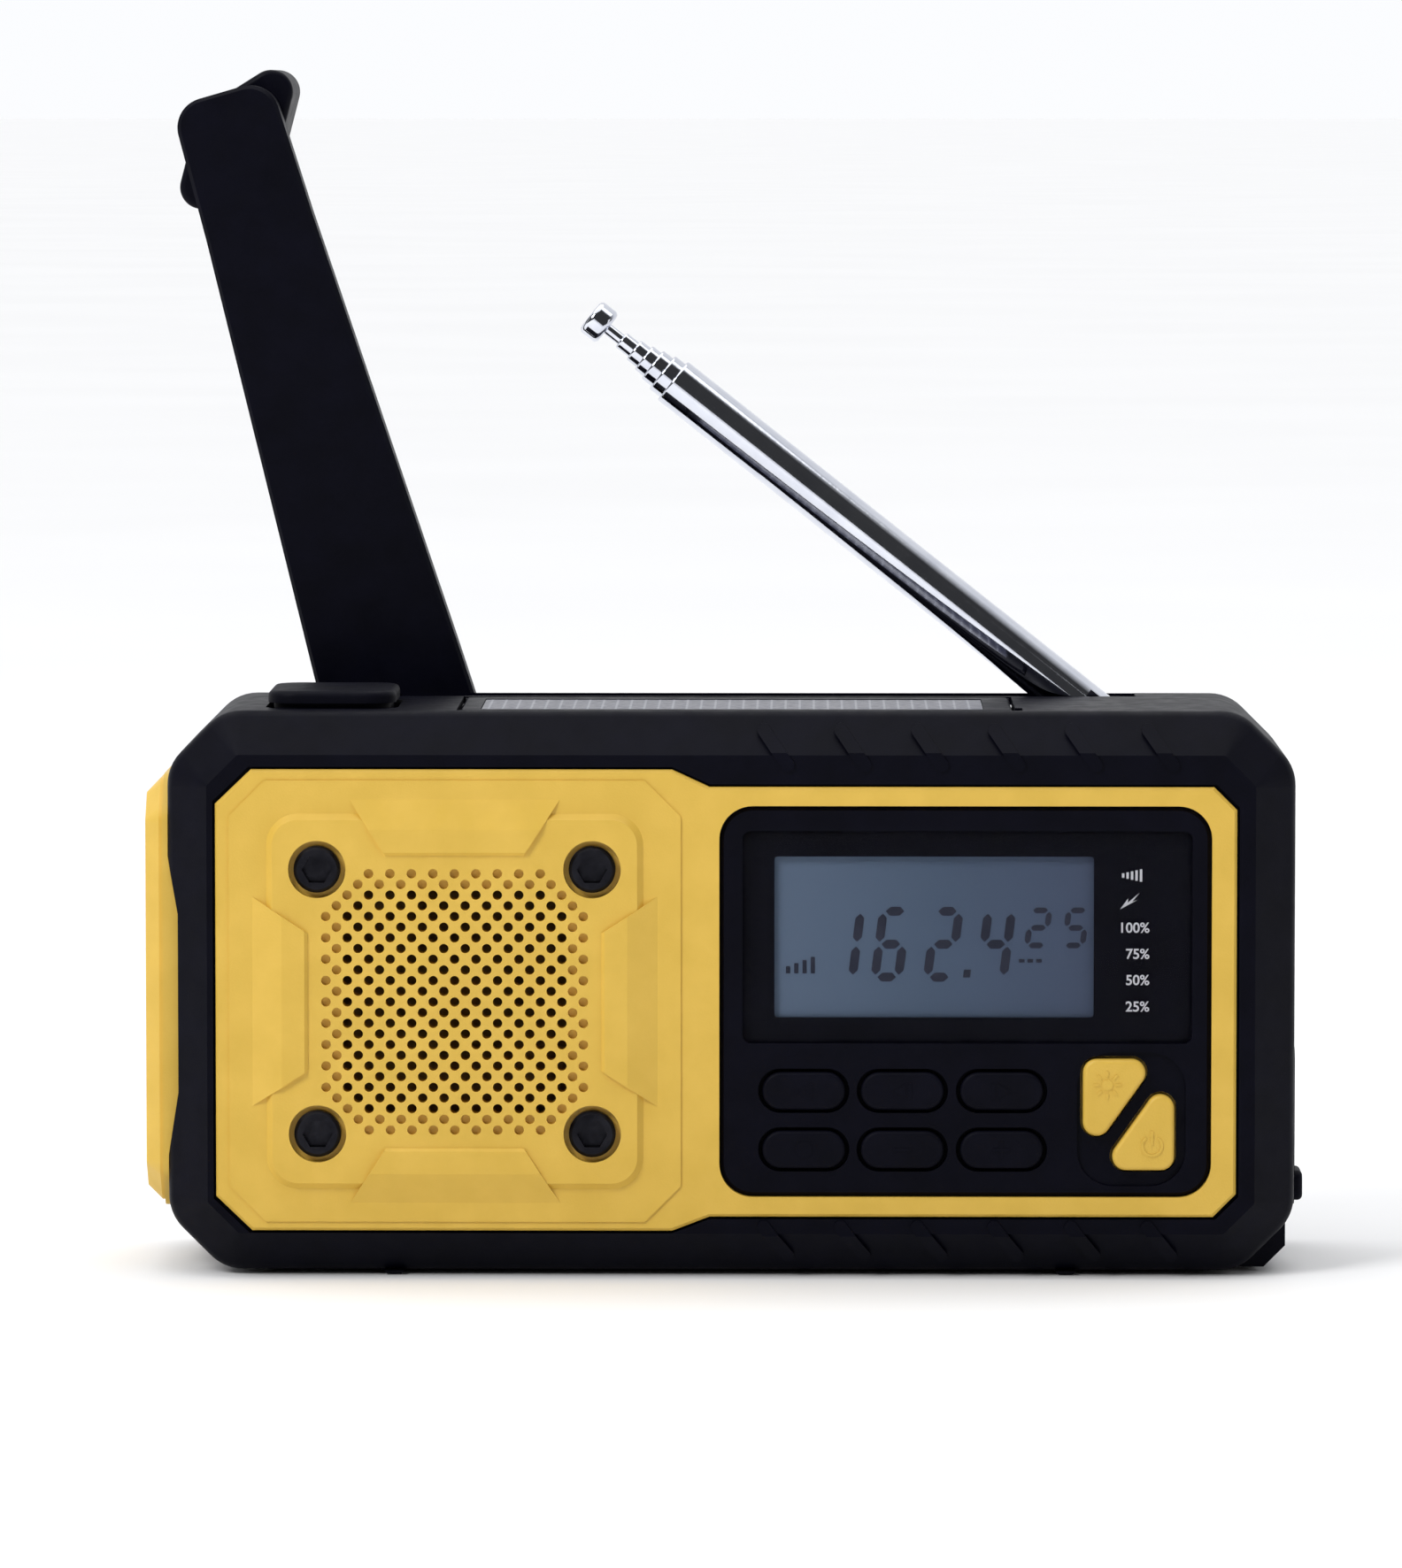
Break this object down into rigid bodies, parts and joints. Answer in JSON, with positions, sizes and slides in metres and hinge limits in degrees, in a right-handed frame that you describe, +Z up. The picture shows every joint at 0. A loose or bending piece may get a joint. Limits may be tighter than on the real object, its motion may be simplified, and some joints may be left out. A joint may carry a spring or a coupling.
{
  "type": "hand-crank radio",
  "caption": "Emergency radio with folding dynamo crank, telescopic antenna, flip-up solar lid, end torch, speaker, display and keys, in a bumper casing.",
  "frame": {"origin": "under the middle of the whole object, on its resting plane", "axes": "+X to the right of someone who faces the radio, front faces -Y, +Z up"},
  "size_m": [0.1622, 0.0775, 0.1681],
  "materials": {
    "black_plastic": "fine satin texture",
    "yellow_plastic": "fine grained satin",
    "black_steel": "black oxide",
    "clear_plastic": "polished clear",
    "lcd": "grey-blue liquid crystal panel",
    "circuit_board": "solder mask",
    "switch_metal": "tinned",
    "ferrite": "sintered",
    "copper": "enamelled wire",
    "plated_steel": "zinc plated",
    "speaker_paper": "pressed paper cone",
    "chrome": "mirror plated",
    "lamp_white": "diffuse white",
    "black_rubber": "matte moulded",
    "solar": "laminated cell",
    "gear_nylon": "moulded nylon",
    "brass": "turned",
    "cell_wrap": "shrink sleeve",
    "socket_metal": "nickel plated shells"
  },
  "bodies": {
    "radio": {"front_shell": "black_plastic", "rear_shell": "black_plastic", "front_panel": "yellow_plastic", "panel_bolts": "black_steel", "control_panel": "black_plastic", "display_lens": "clear_plastic", "lcd_module": "lcd", "main_board": "circuit_board", "tact_switches": "switch_metal", "ferrite_rod": "ferrite", "ferrite_coil": "copper", "speaker_frame": "plated_steel", "speaker_cone": "speaker_paper", "speaker_magnet": "ferrite", "torch_bezel": "yellow_plastic", "torch_lens": "clear_plastic", "torch_reflector": "chrome", "torch_led": "lamp_white", "pad_switch": "circuit_board", "lid_hinge_pins": "plated_steel", "lamp_board": "circuit_board", "lamp_window": "lamp_white", "antenna_pin": "plated_steel", "step_gear_axle": "plated_steel", "gear_plate": "plated_steel", "generator": "plated_steel", "battery_cell": "cell_wrap", "battery_contacts": "plated_steel", "battery_door": "black_plastic", "case_screws": "black_steel", "gear_screws": "plated_steel", "port_sockets": "socket_metal", "feet": "black_rubber"},
    "lid": {"solar_lid": "black_plastic", "solar_cell": "solar"},
    "top_pad": {"top_pad": "black_rubber"},
    "alert_key": {"alert_key": "yellow_plastic"},
    "power_key": {"power_key": "yellow_plastic"},
    "antenna": {"antenna_tube": "chrome"},
    "antenna_tip": {"antenna_tip": "chrome"},
    "crank": {"crank_hub": "black_plastic", "crank_hinge_pin": "plated_steel", "crank_gear": "gear_nylon"},
    "crank_arm": {"crank_arm": "black_plastic", "knob_axle": "plated_steel"},
    "crank_knob": {"crank_knob": "black_plastic"},
    "step_gear": {"step_gear": "gear_nylon"},
    "generator_rotor": {"generator_pinion": "brass"},
    "port_flap": {"port_flap": "black_rubber"},
    "button_1": {"button_1": "black_rubber"},
    "button_2": {"button_2": "black_rubber"},
    "button_3": {"button_3": "black_rubber"},
    "button_4": {"button_4": "black_rubber"},
    "button_5": {"button_5": "black_rubber"},
    "button_6": {"button_6": "black_rubber"},
    "antenna_stage_2": {"antenna_stage_2": "chrome"},
    "antenna_stage_3": {"antenna_stage_3": "chrome"},
    "antenna_stage_4": {"antenna_stage_4": "chrome"},
    "antenna_stage_5": {"antenna_stage_5": "chrome"},
    "antenna_stage_6": {"antenna_stage_6": "chrome"}
  },
  "joints": [
    {"name": "crank_spin", "type": "hinge", "parent": "radio", "child": "crank", "pos_m": [-0.039, 0.008, 0.05], "axis": [0, 1, 0], "continuous": true},
    {"name": "arm_fold", "type": "hinge", "parent": "crank", "child": "crank_arm", "pos_m": [-0.04262, 0.014, 0.06249], "axis": [0.9605, 0, 0.2782], "range_deg": [-180, 0]},
    {"name": "knob_spin", "type": "hinge", "parent": "crank_arm", "child": "crank_knob", "pos_m": [-0.07029, 0.028, 0.15806], "axis": [0, 1, 0], "continuous": true},
    {"name": "step_gear_spin", "type": "hinge", "parent": "radio", "child": "step_gear", "pos_m": [-0.0196, 0, 0.0388], "axis": [0, 1, 0], "continuous": true},
    {"name": "generator_spin", "type": "hinge", "parent": "radio", "child": "generator_rotor", "pos_m": [-0.00574, 0, 0.05266], "axis": [0, 1, 0], "continuous": true},
    {"name": "antenna_tilt", "type": "hinge", "parent": "radio", "child": "antenna", "pos_m": [0.05475, 0.0045, 0.0746], "axis": [0, 1, 0], "range_deg": [-38.4, 51.6]},
    {"name": "antenna_slide_2", "type": "slide", "parent": "antenna", "child": "antenna_stage_2", "axis": [-0.7837, 0, 0.6211], "range_m": [0, 0.068]},
    {"name": "antenna_slide_3", "type": "slide", "parent": "antenna_stage_2", "child": "antenna_stage_3", "axis": [-0.7837, 0, 0.6211], "range_m": [0, 0.068]},
    {"name": "antenna_slide_4", "type": "slide", "parent": "antenna_stage_3", "child": "antenna_stage_4", "axis": [-0.7837, 0, 0.6211], "range_m": [0, 0.068]},
    {"name": "antenna_slide_5", "type": "slide", "parent": "antenna_stage_4", "child": "antenna_stage_5", "axis": [-0.7837, 0, 0.6211], "range_m": [0, 0.068]},
    {"name": "antenna_slide_6", "type": "slide", "parent": "antenna_stage_5", "child": "antenna_stage_6", "axis": [-0.7837, 0, 0.6211], "range_m": [0, 0.068]},
    {"name": "antenna_slide_tip", "type": "slide", "parent": "antenna_stage_6", "child": "antenna_tip", "axis": [-0.7837, 0, 0.6211], "range_m": [0, 0.068]},
    {"name": "lid_hinge", "type": "hinge", "parent": "radio", "child": "lid", "pos_m": [0.002, -0.0026, 0.0772], "axis": [-1, 0, 0], "range_deg": [0, 80]},
    {"name": "pad_press", "type": "slide", "parent": "radio", "child": "top_pad", "axis": [0, 0, -1], "range_m": [0, 0.0008], "stiffness_N_per_m": 900},
    {"name": "button_1_press", "type": "slide", "parent": "radio", "child": "button_1", "axis": [0, 1, 0], "range_m": [0, 0.0005], "stiffness_N_per_m": 900},
    {"name": "button_2_press", "type": "slide", "parent": "radio", "child": "button_2", "axis": [0, 1, 0], "range_m": [0, 0.0005], "stiffness_N_per_m": 900},
    {"name": "button_3_press", "type": "slide", "parent": "radio", "child": "button_3", "axis": [0, 1, 0], "range_m": [0, 0.0005], "stiffness_N_per_m": 900},
    {"name": "button_4_press", "type": "slide", "parent": "radio", "child": "button_4", "axis": [0, 1, 0], "range_m": [0, 0.0005], "stiffness_N_per_m": 900},
    {"name": "button_5_press", "type": "slide", "parent": "radio", "child": "button_5", "axis": [0, 1, 0], "range_m": [0, 0.0005], "stiffness_N_per_m": 900},
    {"name": "button_6_press", "type": "slide", "parent": "radio", "child": "button_6", "axis": [0, 1, 0], "range_m": [0, 0.0005], "stiffness_N_per_m": 900},
    {"name": "alert_key_press", "type": "slide", "parent": "radio", "child": "alert_key", "axis": [0, 1, 0], "range_m": [0, 0.0005], "stiffness_N_per_m": 900},
    {"name": "power_key_press", "type": "slide", "parent": "radio", "child": "power_key", "axis": [0, 1, 0], "range_m": [0, 0.0005], "stiffness_N_per_m": 900},
    {"name": "port_flap_hinge", "type": "hinge", "parent": "radio", "child": "port_flap", "pos_m": [0.07955, -0.0195, 0.0317], "axis": [0, -1, 0], "range_deg": [0, 100]}
  ],
  "couplings": [
    {"joint": "step_gear_spin", "follows": "crank_spin", "ratio": -3},
    {"joint": "generator_spin", "follows": "crank_spin", "ratio": 9}
  ]
}
